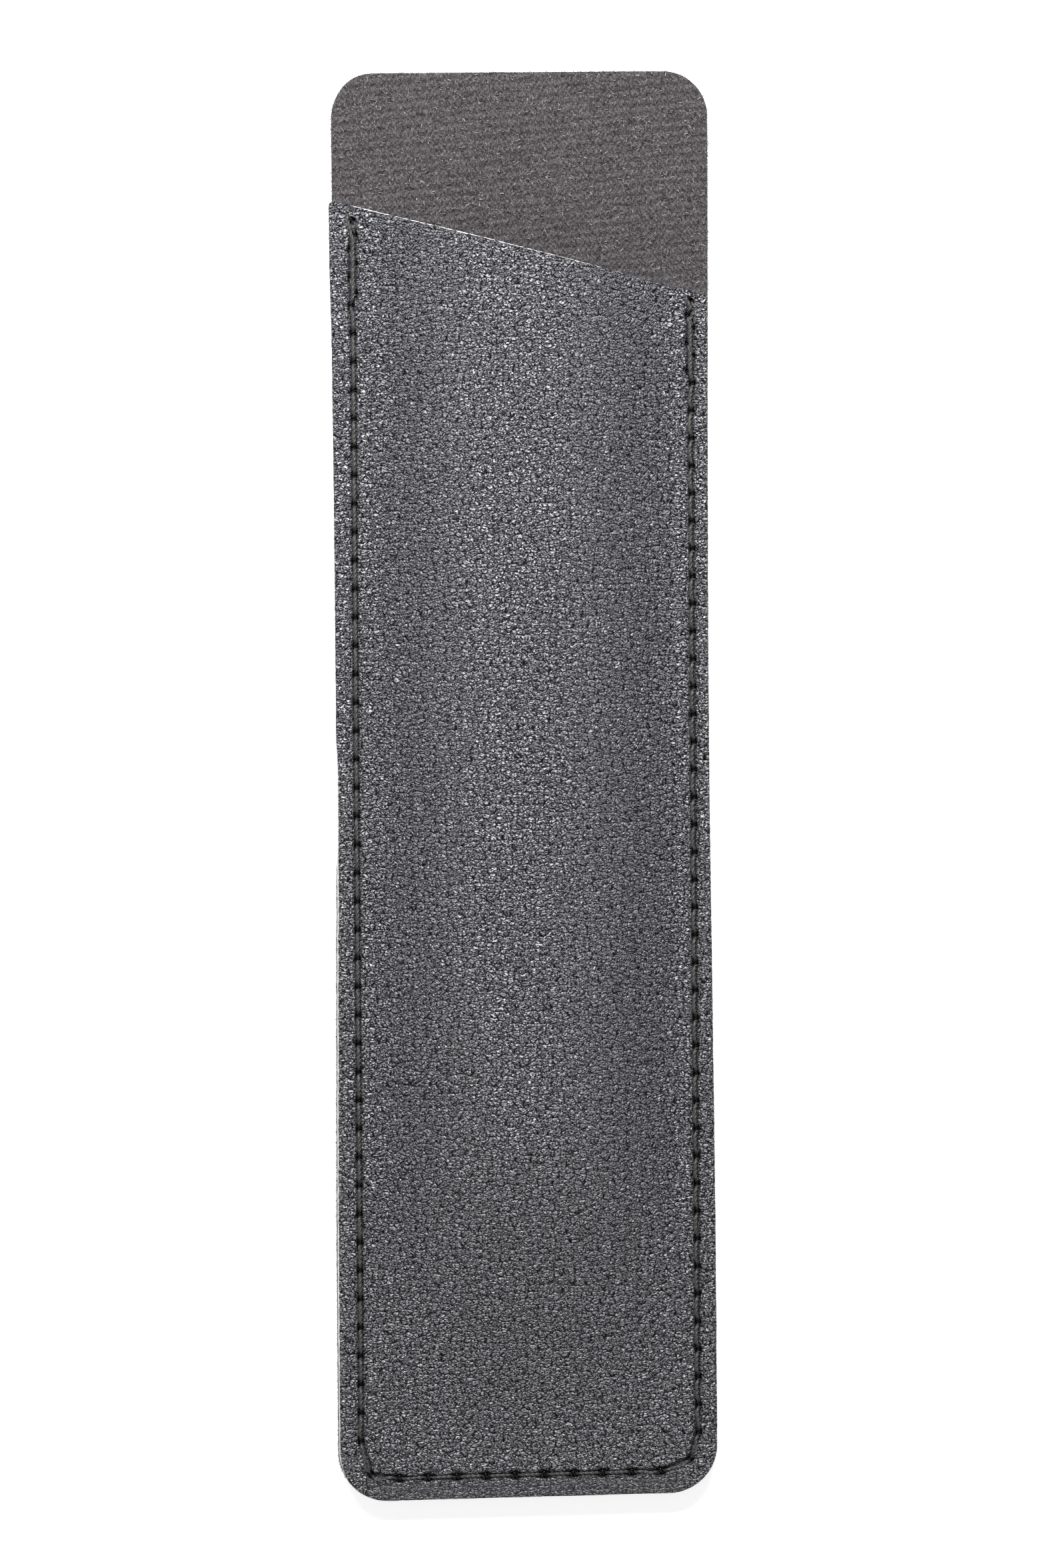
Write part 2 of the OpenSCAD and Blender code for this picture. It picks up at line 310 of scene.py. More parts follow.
def sewn_holes(seam):
    """Holes in sewing order, each with its heading and the way in which its stitches lean.

    The seam is tacked back at both ends, where the two rows of stitches lean on each other.
    On the right the stitches lean inwards and leave their holes open beside them.
    """
    last = len(seam) - 1

    def heading(i):
        return unit(seam[min(i + 1, last)] - seam[max(i - 1, 0)])

    def inward(i):
        return turned(heading(i), 90)

    def tack_hole(i, way):
        at = seam[i] + inward(i) * TACK_OUT + way * TACK_SHIFT * heading(i)
        return at, -heading(i), -inward(i) * LEAN

    def main_hole(i):
        tacked = i <= TACK_STITCHES or i >= last - TACK_STITCHES
        right = heading(i)[1] > 0.9
        lean = inward(i) * LEAN if tacked or right else np.zeros(2)
        return seam[i] - inward(i) * (TACK_OUT if tacked else LEAN / 2 if right else 0), heading(i), lean

    holes = [tack_hole(k, -1) for k in range(TACK_STITCHES, 0, -1)]
    holes += [(seam[0], turned(-inward(0), -45), np.zeros(2))]
    holes += [main_hole(i) for i in range(1, last)]
    holes += [(seam[last], turned(inward(last), -45), np.zeros(2))]
    holes += [tack_hole(last - k, 1) for k in range(1, TACK_STITCHES + 1)]
    return holes


SEAM = seam_line()
HOLES = sewn_holes(SEAM)
HOLE_PATH = np.array([at for at, heading, lean in HOLES])
THREAD_PATH = np.array([at + lean * 0.6 for at, heading, lean in HOLES])

# Where the front panel starts to rise, inside the seam
FOOT_GAP = PUNCH_R + 0.15 * MM
FOOT_L = SEAM_L + LEG_OUT + FOOT_GAP
FOOT_R = SEAM_R - LEG_OUT - FOOT_GAP
FOOT_Y = seam_y(SEAM_R) + RIGHT_TURN[1] + FOOT_GAP
FOOT_X = (FOOT_L + FOOT_R) / 2
FOOT_HW = (FOOT_R - FOOT_L) / 2


def bottom_row(points):
    """1 along the bottom row of stitches and on the margin under it, 0 on the sides."""
    x, y = points.T
    above = smooth((y - seam_y(x) - 0.8 * MM) / (1.2 * MM))
    return (1 - above) * (1 - smooth((np.abs(x) - 15.5 * MM) / (1.5 * MM)))


def hole_distance(points, hole_l, hole_w):
    """Distance from the nearest stitch hole's middle, where 1 is the hole's edge."""
    wider = 1 + LOW_HOLE * bottom_row(points)
    best = np.full(len(points), 1e3)
    for at, heading, lean in HOLES:
        along, across = (points - at) @ heading, (points - at) @ turned(heading, 90)
        best = np.minimum(best, np.hypot(along / hole_l, across / hole_w) / wider)
    return best


def hole_loop(at, heading, hole_l, hole_w):
    """Points round one stitch hole, anticlockwise."""
    wider = 1 + LOW_HOLE * bottom_row(np.array([at]))[0]
    across = turned(heading, 90)
    angles = np.arange(HOLE_SIDES) * 2 * math.pi / HOLE_SIDES
    return np.array([at + wider * (hole_l * math.cos(a) * heading + hole_w * math.sin(a) * across)
                     for a in angles])


# The cut edges

def cut_line(panel):
    """The panel's cut outline, anticlockwise from the bottom's left corner."""
    parts = [arc(LEFT_C, BOTTOM_R, 180, 270 + math.degrees(EDGE_ANGLE)),
             arc(RIGHT_C, BOTTOM_R, 270 + math.degrees(EDGE_ANGLE), 360)]
    if panel == BACK:
        parts += [arc((HALF_W - TOP_R, HALF_L - TOP_R), TOP_R, 0, 90),
                  arc((-HALF_W + TOP_R, HALF_L - TOP_R), TOP_R, 90, 180)]
    else:
        square = 90 + math.degrees(MOUTH_ANGLE)
        for side, radius, angles in ((1, MOUTH_RIGHT_R, (0, square)), (-1, MOUTH_LEFT_R, (square, 180))):
            x = side * (HALF_W - radius)
            parts += [arc((x, mouth_y(x) - radius / math.cos(MOUTH_ANGLE)), radius, *angles, steps=8)]
    loop = evenly(np.vstack(parts), RIM_STEP)
    x, y = loop.T
    side = smooth((np.abs(x) - HALF_W + 3 * MM) / (3 * MM)) * np.sign(x)
    sizes = bpy.context.scene.pen_sleeve_sizes
    from_waist = np.clip((y - WAIST_Y) / WAIST_HALF_L, -1, 1)
    shift = -side * sizes.waist * np.cos(from_waist * math.pi / 2) ** 2
    # On the left, near the mouth and above, the back is cut further in and the front stands out past it
    near_top = smooth((y - 50 * MM) / (8 * MM)) * (x < 0) * np.abs(side)
    shift += near_top * (BACK_IN if panel == BACK else -FRONT_OUT)
    return np.column_stack([x + shift, y])


def slant(points):
    """How much of the slanted cut shows on the left edge, which the knife left leaning lower down."""
    x, y = points.T
    return (x < -HALF_W + 4 * MM) * smooth((SLANT_TOP - y) / (6 * MM)) * smooth((y - SLANT_LOW) / (3 * MM))


def stuck_out(points):
    """How far the knife left the lining standing out under the slanted cut."""
    return slant(points) * smooth((STUCK_TOP - points[:, 1]) / (4 * MM))


def at_mouth(points):
    """How much of the slanted cut shows along the mouth: most of it on the left, little on the right."""
    x, y = points.T
    shown = smooth((x + HALF_W - 1.8 * MM) / (1.2 * MM)) * (1 - 0.85 * smooth((x - 1 * MM) / (14 * MM)))
    broken = 0.65 + 0.35 * smooth(0.55 + 1.3 * ripple(points, 0.8 * MM, 11))
    return smooth(1 - (mouth_y(x) - y) / (0.5 * MM)) * shown * broken * (x < HALF_W - 0.5 * MM)


def rim(panel, level):
    """The cut edge of one panel at one level: 0 is the lowest face of its lowest ply, 3 the top.

    Each level is set in by its own amount, which grows where the knife cut on a slant.
    """
    sizes = bpy.context.scene.pen_sleeve_sizes
    loop = cut_line(panel)
    show = sizes.core_show
    if panel == FRONT:
        plain = (0.0, 0.02 * MM, 0.0, 0.02 * MM)[level]
        left = (0.12 * MM, 0.12 * MM, 0.12 * MM + show, 0.15 * MM + show)[level]
        mouth = (0.0, 0.02 * MM, 0.02 * MM + 0.6 * show, 0.05 * MM + 0.6 * show)[level]
        inset = plain + (left - plain) * slant(loop) + (mouth - plain) * at_mouth(loop)
        inset = inset - (0.12 * MM * stuck_out(loop) if level == 0 else 0)
    else:
        inset = (0.04 * MM, 0.0, 0.01 * MM, 0.03 * MM)[level] + 0.16 * MM * slant(loop)
    knit = level in (0, 1) if panel == FRONT else level in (2, 3)
    if knit:
        inset = inset + 0.035 * MM * ripple(loop, 0.45 * MM, level + 1)
        inset = inset + 0.03 * MM * ripple(loop, 2 * MM, 9) * slant(loop)
    else:
        shown = slant(loop) + at_mouth(loop) if panel == FRONT else 0
        rough = (0.03 + 0.05 * shown) * MM
        inset = inset + rough * ripple(loop, 0.3 * MM, 3) + 0.02 * MM * ripple(loop, 0.9 * MM, 4)
    inset = inset + 0.02 * MM * ripple(loop, 4 * MM, 5)
    return loop - outward(loop) * inset[:, None]


def rim_gap(points, panel):
    """Distance of inner points from the panel's outline, and negative outside it."""
    x, y = points.T
    top = (mouth_y(x) - y) * math.cos(MOUTH_ANGLE) if panel == FRONT else HALF_L - y
    gap = np.minimum.reduce([x + HALF_W, HALF_W - x, (y - bottom_y(x)) * math.cos(EDGE_ANGLE), top])
    corners = [(LEFT_C, BOTTOM_R, -1, -1), (RIGHT_C, BOTTOM_R, 1, -1)]
    if panel == BACK:
        corners += [((side * (HALF_W - TOP_R), HALF_L - TOP_R), TOP_R, side, 1) for side in (1, -1)]
    for centre, radius, sx, sy in corners:
        off = points - np.array(centre)
        inside = (off[:, 0] * sx > 0) & (off[:, 1] * sy > 0)
        gap[inside] = radius - np.hypot(*off[inside].T)
    return gap


# Levels of the plies, after sewing

def lift(points):
    """Height of the front panel's raised middle."""
    x, y = points.T
    u = np.minimum(1, np.abs(x - FOOT_X) / FOOT_HW)
    along = (y - FOOT_Y) / (mouth_y(FOOT_X) - FOOT_Y)
    crown = CROWN_LOW + (CROWN_MOUTH - CROWN_LOW) * along
    return crown * (1 - u ** CROWN_FLAT) ** 2 * smooth((y - FOOT_Y) / RISE_L)


def drawn_in(points):
    """How far the stitches draw a face in: a groove along the thread, deeper at the holes."""
    sizes = bpy.context.scene.pen_sleeve_sizes
    low = bottom_row(points)
    flat = sizes.thread_r * (0.8 - 0.35 * low)
    reach = (0.2 - 0.04 * low) * MM
    beside = smooth((path_distance(points, THREAD_PATH) - flat) / reach)
    pit = 1 - smooth((hole_distance(points, sizes.hole_l, sizes.hole_w) - 0.9) / 0.9)
    return sizes.groove_depth * (1 - 0.15 * low) * (1 - beside) + (0.16 + 0.08 * low) * MM * pit


def tucks(points):
    """Small creases that run out sideways from the stitch holes."""
    depth = np.zeros(len(points))
    for i, (at, heading, lean) in enumerate(HOLES):
        for side in (1, -1):
            skew = 28 * noise.noise(Vector((i * 3.7, side * 2.1, 0.4)))
            reach = (1.5 + 0.7 * noise.noise(Vector((i * 1.9, side * 5.3, 2.2)))) * MM
            way = turned(heading, 90 * side + skew)
            along, across = (points - at) @ way, (points - at) @ turned(way, 90)
            fade = smooth((along - 0.1 * MM) / (0.2 * MM)) * (1 - smooth(along / reach))
            depth += fade * np.exp(-(across / (0.12 * MM)) ** 2)
    return 0.05 * MM * np.minimum(depth, 1)


def front_level(level, points):
    """Heights of one level of the front panel."""
    raised = lift(points)
    wave = 0.09 * MM * ripple(points, 13 * MM, 1) + 0.03 * MM * ripple(points, 4.5 * MM, 2)
    z = FRONT_LEVELS[level] + raised + wave * smooth(raised / (1.2 * MM))
    z = z - DRAWN_SHARES[level] * drawn_in(points)
    if level == 3:
        z = z - tucks(points)
    return z


def back_level(level, points):
    """Heights of one level of the back panel, which rests on its lowest face."""
    z = BACK_LEVELS[level] + DRAWN_SHARES[3 - level] * drawn_in(points)
    if level == 0:
        z = z + tucks(points)
    return z


# Sheets

def fill_points(panel, step, fine_step=None):
    """Points inside a panel's outline, closer together round the seam if a fine step is given."""
    low, high = np.array([-HALF_W, -HALF_L]), np.array([HALF_W, HALF_L])
    found = []
    for spacing, near, clear in ((step, False, 0.62 * MM), (fine_step, True, 0.58 * MM)):
        if spacing is None:
            continue
        rows = np.arange(low[1], high[1], spacing * 0.87)
        columns = np.arange(low[0], high[0], spacing)
        x, y = np.meshgrid(columns, rows)
        x = x + (np.arange(len(rows)) % 2)[:, None] * spacing / 2
        points = np.column_stack([x.ravel(), y.ravel()])
        points = points[rim_gap(points, panel) > clear]
        if fine_step is not None:
            close = path_distance(points, HOLE_PATH) < 1.25 * MM
            points = points[close if near else ~close]
        found.append(points)
    return np.vstack(found)


def thinned(points, grid):
    """The first point in each cell of a square grid."""
    first = np.unique(np.round(points / grid).astype(int), axis=0, return_index=True)[1]
    return points[np.sort(first)]


def triangles(loops, inner):
    """Delaunay triangles inside the first loop, outside the others, on all the points in order."""
    points = np.vstack([*loops, inner]) / MM
    edges, start = [], 0
    for loop in loops:
        count = len(loop)
        edges += [(start + k, start + (k + 1) % count) for k in range(count)]
        start += count
    found = geometry.delaunay_2d_cdt([Vector(p) for p in points], edges, [], 1, 1e-6)
    places, faces, sources = found[0], np.array(found[2]), found[3]
    if len(places) != len(points):
        raise RuntimeError("The outline crosses itself, so the sheet can't be triangulated")
    index = np.array([s[0] for s in sources])
    faces = index[faces]
    corners = points[faces] * MM
    turn = np.cross(corners[:, 1] - corners[:, 0], corners[:, 2] - corners[:, 0])
    faces[turn < 0] = faces[turn < 0][:, ::-1]
    labels = np.concatenate([*[np.full(len(loop), k) for k, loop in enumerate(loops)],
                             np.full(len(inner), -1)])[faces]
    in_hole = (labels[:, 0] > 0) & (labels[:, 0] == labels[:, 1]) & (labels[:, 0] == labels[:, 2])
    return faces[~in_hole]


def lamina(name, levels, rims, holes, fills):
    """A closed ply between two faces. Each face has its own height rule, rim, holes and fill."""
    co, faces, starts = [], [], []
    total = 0
    for k, (level, edge, pierced, inner) in enumerate(zip(levels, rims, holes, fills)):
        flat = np.vstack([edge, *pierced, inner])
        found = triangles([edge, *pierced], inner)
        z = level(flat)
        if k == 1:
            found = found[:, ::-1]
        co.append(np.column_stack([flat, z]))
        faces.append(found + total)
        starts.append(total)
        total += len(flat)
    walls = []
    top, under = starts
    offset = 0
    for part, loop in enumerate([rims[0], *holes[0]]):
        a = np.arange(len(loop)) + offset
        b = np.roll(a, -1)
        quads = [np.column_stack([a + under, b + under, b + top]),
                 np.column_stack([a + under, b + top, a + top])]
        walls += [q[:, ::-1] if part else q for q in quads]
        offset += len(loop)
    mesh = bpy.data.meshes.new(name)
    every = np.vstack(faces + walls)
    mesh.from_pydata(np.vstack(co).tolist(), [], every.tolist())
    mesh.validate()
    mesh.polygons.foreach_set("use_smooth", [True] * len(mesh.polygons))
    mesh.set_sharp_from_angle(angle=math.radians(50))
    piece = bpy.data.objects.new(name, mesh)
    bpy.context.scene.collection.objects.link(piece)
    return piece


def punched(scale=1.0):
    """Round holes as the needle left them inside the plies, drawn open by the threads."""
    return [arc(at, PUNCH_R * scale, 0, 360, PUNCH_SIDES)[:-1] for at in HOLE_PATH]


def in_punched(points):
    """Whether each point lies inside a punched hole."""
    near = np.full(len(points), False)
    for at in HOLE_PATH:
        near |= np.hypot(*(points - at).T) < PUNCH_R * 1.02
    return near


def grain_face(panel, edge):
    """Holes and fill points of a skin's outer face: fine round the seam, the holes and the rim."""
    sizes = bpy.context.scene.pen_sleeve_sizes
    tight = 1.0 if panel == FRONT else 0.55
    loops = [hole_loop(at, heading, sizes.hole_l * tight, sizes.hole_w * tight)
             for at, heading, lean in HOLES]
    rings = [hole_loop(at, heading, sizes.hole_l * k, sizes.hole_w * k)
             for k in (1.3, 1.7) for at, heading, lean in HOLES]
    inner = np.vstack([fill_points(panel, WIDE_STEP, FINE_STEP), *rings])
    inner = inner[hole_distance(inner, sizes.hole_l, sizes.hole_w) > 1.15]
    inner = thinned(inner, 0.11 * MM)
    normals = outward(edge)
    bands = [edge - normals * gap for gap in (*ROLL_GAPS, 0.36 * MM)]
    return loops, np.vstack([inner, *bands]), len(inner)


def rounded(panel, inner_count, edge_count, hole_points):
    """The height rule of a skin's outer face, with the rim rolled over by the cut."""
    def rule(points):
        """Heights of the face's points: first the edge, then the holes, the fill and the bands."""
        z = front_level(3, points) if panel == FRONT else back_level(0, points)
        gap = np.full(len(points), 1.0)
        gap[:edge_count] = 0.0
        start = edge_count + hole_points + inner_count
        for band in ROLL_GAPS:
            gap[start:start + edge_count] = band
            start += edge_count
        short = np.clip(ROLL_R - gap, 0, ROLL_R)
        roll = 0.7 * (ROLL_R - np.sqrt(ROLL_R ** 2 - short ** 2))
        return z - roll if panel == FRONT else z + roll
    return rule


def skin_ply(name, panel):
    """The embossed skin of one panel."""
    outer, inner = (3, 2) if panel == FRONT else (0, 1)
    edge = rim(panel, outer)
    loops, fill, inner_count = grain_face(panel, edge)
    rule = rounded(panel, inner_count, len(edge), HOLE_SIDES * len(loops))
    sizes = bpy.context.scene.pen_sleeve_sizes
    level = front_level if panel == FRONT else back_level
    rough = fill_points(panel, HIDDEN_STEP)
    rough = rough[hole_distance(rough, sizes.hole_l, sizes.hole_w) > 1.3]

    faces = [(rule, edge, loops, fill), (lambda p: level(inner, p), rim(panel, inner), loops, rough)]
    if panel == BACK:
        faces.reverse()
    piece = lamina(name, *zip(*faces))
    mark_skin(piece)
    return piece


def mark_skin(piece):
    """Stores values from 0 to 1: where the grain is pressed flat, and where painted shade darkens it round
    a stitch hole.
    """
    sizes = bpy.context.scene.pen_sleeve_sizes
    flat = np.array([v.co[:2] for v in piece.data.vertices])
    groove = 1 - smooth((path_distance(flat, THREAD_PATH) - 0.16 * MM) / (0.2 * MM))
    x, y = flat.T
    below = smooth((seam_y(x) - 0.2 * MM - y) / (0.5 * MM))
    margin = 0.55 * below * (1 - smooth((np.abs(x) - 16 * MM) / (3 * MM)))
    # Painted shade round each stitch hole, where the hole's pit lies in shade
    hole = 1 - smooth((hole_distance(flat, sizes.hole_l, sizes.hole_w) - 1.05) / 0.45)
    for name, value in (("calm", np.maximum(groove, margin)), ("hole_shade", hole)):
        layer = piece.data.attributes.new(name, "FLOAT", "POINT")
        layer.data.foreach_set("value", value.astype(np.float32))


def inner_ply(name, panel, upper, lower):
    """The core or the lining of one panel."""
    level = front_level if panel == FRONT else back_level
    fill = fill_points(panel, HIDDEN_STEP)
    fill = fill[~in_punched(fill) & (path_distance(fill, HOLE_PATH) > 0.8 * MM)]
    fill = thinned(np.vstack([fill, *punched(1.3)]), 0.35 * MM)
    fill = fill[~in_punched(fill)]
    loops = punched()
    faces = [((lambda p, k=k: level(k, p)), rim(panel, k), loops, fill) for k in (upper, lower)]
    return lamina(name, *zip(*faces))


# Materials

def add_node(tree, kind, links=None, values=None, **settings):
    """Adds one node: its settings, the values of its free inputs, and the links into the others."""
    node = tree.nodes.new(kind)
    for key, value in settings.items():
        setattr(node, key, value)
    for key, value in (values or {}).items():
        node.inputs[key].default_value = value
    for key, source in (links or {}).items():
        tree.links.new(source, node.inputs[key])
    return node


def sorted_terms(terms):
    """Terms by their place: first those that are sockets, then those that are plain values."""
    links = {k: term for k, term in enumerate(terms) if isinstance(term, bpy.types.NodeSocket)}
    return links, {k: term for k, term in enumerate(terms) if k not in links}


def maths(tree, operation, *terms):
    """The result of one Math node. Each term is a socket or a number."""
    return add_node(tree, "ShaderNodeMath", *sorted_terms(terms), operation=operation).outputs[0]


def vectors(tree, operation, *terms):
    """The results of one Vector Math node. Each term is a socket or three numbers."""
    return add_node(tree, "ShaderNodeVectorMath", *sorted_terms(terms), operation=operation).outputs


def stored(tree, name):
    """A value stored on the mesh's points."""
    return add_node(tree, "ShaderNodeAttribute", attribute_name=name).outputs["Fac"]


def object_place(tree):
    """The point's place in the object's own frame."""
    return add_node(tree, "ShaderNodeTexCoord").outputs["Object"]


def stretched(tree, place, x, y):
    """A place scaled across and along, so that what is laid on it is drawn out."""
    return add_node(tree, "ShaderNodeMapping", {"Vector": place}, {"Scale": (x, y, 1.0)}).outputs[0]


def seen_directly(tree):
    """1 for camera, glossy and transmission rays."""
    rays = add_node(tree, "ShaderNodeLightPath").outputs
    either = maths(tree, "MAXIMUM", rays["Is Camera Ray"], rays["Is Glossy Ray"])
    return maths(tree, "MAXIMUM", either, rays["Is Transmission Ray"])


def ranged(tree, value, low, high, start=0.0, end=1.0, curve="LINEAR"):
    """Takes a value from low to high over to start to end, and holds it there outside them."""
    return add_node(tree, "ShaderNodeMapRange", {"Value": value},
                    {"From Min": low, "From Max": high, "To Min": start, "To Max": end},
                    interpolation_type=curve).outputs[0]


def speckle(tree, place, size, detail, roughness=0.5):
    """Noise whose features have the given size: its value and its colour."""
    return add_node(tree, "ShaderNodeTexNoise", {"Vector": place},
                    {"Scale": 1 / size, "Detail": detail, "Roughness": roughness}).outputs


def cells(tree, place, size, feature="F1"):
    """Flat Voronoi cells of the given size."""
    return add_node(tree, "ShaderNodeTexVoronoi", {"Vector": place}, {"Scale": 1 / size},
                    feature=feature, voronoi_dimensions="2D").outputs


def blend(tree, share, first, second):
    """A colour between two others, by a share from 0 to 1."""
    return add_node(tree, "ShaderNodeMix", {"Factor": share}, {"A": first, "B": second},
                    data_type="RGBA").outputs["Result"]


def bumped(tree, height, depth, strength=1.0):
    """The normal of a surface with this relief."""
    return add_node(tree, "ShaderNodeBump", {"Height": height},
                    {"Strength": strength, "Distance": depth}).outputs[0]


def new_material(name):
    """An empty material with nodes, and its tree."""
    material = bpy.data.materials.new(name)
    material.use_nodes = True
    material.node_tree.nodes.clear()
    return material, material.node_tree


def add_output(tree, shader):
    """Ends a material in a shader."""
    add_node(tree, "ShaderNodeOutputMaterial", {"Surface": shader.outputs[0]})


def add_surface(tree, links, values):
    """Ends a material in a principled shader."""
    add_output(tree, add_node(tree, "ShaderNodeBsdfPrincipled", links, values))


def shingles(tree, place, size, line):
    """Cells that rise towards their lower edges and drop there.

    Gives their height, the share of painted shade in the creases under them, and the distance from their
    middles.
    """
    edge = cells(tree, place, size, "DISTANCE_TO_EDGE")["Distance"]
    middle = cells(tree, place, size)
    offset = vectors(tree, "SUBTRACT", place, middle["Position"])[0]
    lower = vectors(tree, "DOT_PRODUCT", offset, (0, -1 / size, 0))["Value"]
    bank = ranged(tree, edge, 0.0, 0.24, curve="SMOOTHSTEP")
    height = maths(tree, "MULTIPLY", bank, maths(tree, "MULTIPLY_ADD", lower, 0.55, 0.6))
    groove = ranged(tree, edge, line / 6, line, 1.0, 0.0)
    crease_shade = maths(tree, "MULTIPLY", groove, ranged(tree, lower, -0.2, 0.1))
    return height, crease_shade, middle["Distance"]


def embossed_leatherette():
    """Polyurethane skin, embossed with a shingled grain full of fine pores, and finished semi-matt.

    Small scales lie over longer folds. Each rises towards its lower edge and drops there, and the creases
    under them hold painted shade.
    """
    grain = bpy.context.scene.pen_sleeve_grain
    colours = bpy.context.scene.pen_sleeve_colours
    material, tree = new_material("embossed_polyurethane_leatherette")
    place = object_place(tree)
    calm = stored(tree, "calm")
    hole = stored(tree, "hole_shade")

    # The pattern is pushed about unevenly, and its cells are wider than they are high
    warp = speckle(tree, place, 1.1 * MM, 2.0)["Color"]
    centred = vectors(tree, "SUBTRACT", warp, (0.5, 0.5, 0.5))[0]
    pushed = vectors(tree, "MULTIPLY_ADD", centred, (0.8 * MM, 0.8 * MM, 0.8 * MM), place)[0]
    scale, scale_crease_shade, from_middle = shingles(tree, stretched(tree, pushed, 0.68, 1.2), grain.cell, 0.2)
    fold, fold_crease_shade = shingles(tree, stretched(tree, pushed, 0.5, 1.0), grain.fold, 0.16)[:2]
    fine = ranged(tree, cells(tree, pushed, grain.pore)["Distance"], 0.1, 0.36, 1.0, 0.0, "SMOOTHSTEP")
    wide = ranged(tree, from_middle, 0.06, 0.24, 0.5, 0.0, "SMOOTHSTEP")
    pit = maths(tree, "MAXIMUM", fine, wide)
    grit = speckle(tree, place, 0.3 * MM, 2.0)["Fac"]

    # Relief, pressed flat beside the thread
    folded = maths(tree, "MULTIPLY_ADD", fold, 0.3, scale)
    pitted = maths(tree, "MULTIPLY_ADD", pit, -0.5, folded)
    height = maths(tree, "MULTIPLY_ADD", grit, 0.35, pitted)
    keep = maths(tree, "MULTIPLY_ADD", calm, -0.75, 1.0)
    normal = bumped(tree, maths(tree, "MULTIPLY", height, keep), grain.relief)

    # Painted shade: creases, pores and stitch holes are darkened and lose their reflection, and the
    # pressed-flat groove and margin are darkened half as much
    crease_shade_share = maths(tree, "MAXIMUM", scale_crease_shade, fold_crease_shade)
    kept_shade = maths(tree, "MULTIPLY", maths(tree, "MAXIMUM", crease_shade_share, pit), keep)
    pressed = maths(tree, "MULTIPLY_ADD", calm, 0.5, kept_shade)
    dark = maths(tree, "MAXIMUM", pressed, hole)
    worn = ranged(tree, speckle(tree, place, 9 * MM, 3.0)["Fac"], 0.3, 0.7, 0.3, 0.36)
    add_surface(tree, {"Base Color": blend(tree, dark, colours.skin, colours.crease_shade), "Roughness": worn,
                       "Specular IOR Level": ranged(tree, dark, 0.0, 1.0, 1.0, 0.03),
                       "Normal": normal}, {"IOR": 1.5})
    return material


def knit_wave(tree, place, pitch, heading):
    """A wave from -1 to 1 across the knit, with its crests a pitch apart. The heading is in degrees."""
    way = math.radians(heading)
    across = (math.cos(way) * 2 * math.pi / pitch, math.sin(way) * 2 * math.pi / pitch, 0)
    return maths(tree, "SINE", vectors(tree, "DOT_PRODUCT", place, across)["Value"])


def brushed_lining():
    """Knitted polyester backing, brushed to a short nap: dull and faintly ribbed, with pale fibre ends and
    a painted highlight where the nap and its ribs stand higher.
    """
    grain = bpy.context.scene.pen_sleeve_grain
    colours = bpy.context.scene.pen_sleeve_colours
    material, tree = new_material("brushed_polyester_knit")
    place = object_place(tree)
    rows = knit_wave(tree, place, grain.rib, 95)
    left = knit_wave(tree, place, grain.rib * 0.53, 147)
    right = knit_wave(tree, place, grain.rib * 0.44, 37)
    knit = maths(tree, "MULTIPLY_ADD", maths(tree, "ADD", left, right), 0.6, rows)
    nap = speckle(tree, stretched(tree, place, 1.0, 0.55), 0.14 * MM, 3.0, 0.75)["Fac"]
    height = maths(tree, "MULTIPLY_ADD", knit, 0.035, nap)
    # Pale fibre ends and a painted highlight: the lining lightens towards the fibre colour where the nap
    # and ribs stand higher
    pale_ends_and_highlight = ranged(tree, height, 0.42, 0.78, 0.0, 0.36)
    add_surface(tree, {"Base Color": blend(tree, pale_ends_and_highlight, colours.nap, colours.fibre),
                       "Normal": bumped(tree, height, 0.1 * MM)},
                {"Roughness": 0.9, "Sheen Weight": 0.25, "Sheen Roughness": 0.5})
    return material


def foam_core():
    """Cut face of the foamed core: pale, matt and finely pitted."""
    colours = bpy.context.scene.pen_sleeve_colours
    material, tree = new_material("foamed_core_cut_edge")
    place = object_place(tree)
    foam = speckle(tree, place, 0.1 * MM, 2.0)["Fac"]
    add_surface(tree, {"Base Color": blend(tree, foam, linear("EFEBE6"), colours.core),
                       "Normal": bumped(tree, foam, 0.04 * MM, 0.6)}, {"Roughness": 0.8})
    return material


def spun_polyester():
    """Three-ply spun polyester sewing thread: matt black, with a painted highlight on streaks of its fine
    filaments.
    """
    colours = bpy.context.scene.pen_sleeve_colours
    material, tree = new_material("spun_polyester_thread")
    around = maths(tree, "MULTIPLY", stored(tree, "around"), 18.0)
    along = maths(tree, "MULTIPLY", stored(tree, "along"), 1 / (0.5 * MM))
    lie = add_node(tree, "ShaderNodeCombineXYZ", {"X": around, "Y": along})
    filaments = speckle(tree, lie.outputs[0], 1.0, 2.0)["Fac"]
    # Painted highlight: streaks of the filaments are lightened from black towards the thread colour
    light = ranged(tree, filaments, 0.48, 0.72)
    add_surface(tree, {"Base Color": blend(tree, light, linear("1C1A19"), colours.thread),
                       "Normal": bumped(tree, filaments, 0.03 * MM, 0.8)},
                {"Roughness": 0.5, "Sheen Weight": 0.2})
    return material


def fibre_material(name, light, dark):
    """Loose polyester fibres: matt and dark, with a light one here and there."""
    material, tree = new_material(name)
    island = add_node(tree, "ShaderNodeNewGeometry").outputs["Random Per Island"]
    rare = maths(tree, "POWER", island, 4.0)
    add_surface(tree, {"Base Color": blend(tree, rare, linear(dark), light)}, {"Roughness": 0.6})
    return material


def shared_material(name, make):
    """The material of that name, made the first time that it is asked for."""
    return bpy.data.materials.get(name) or make()


# Geometry Nodes

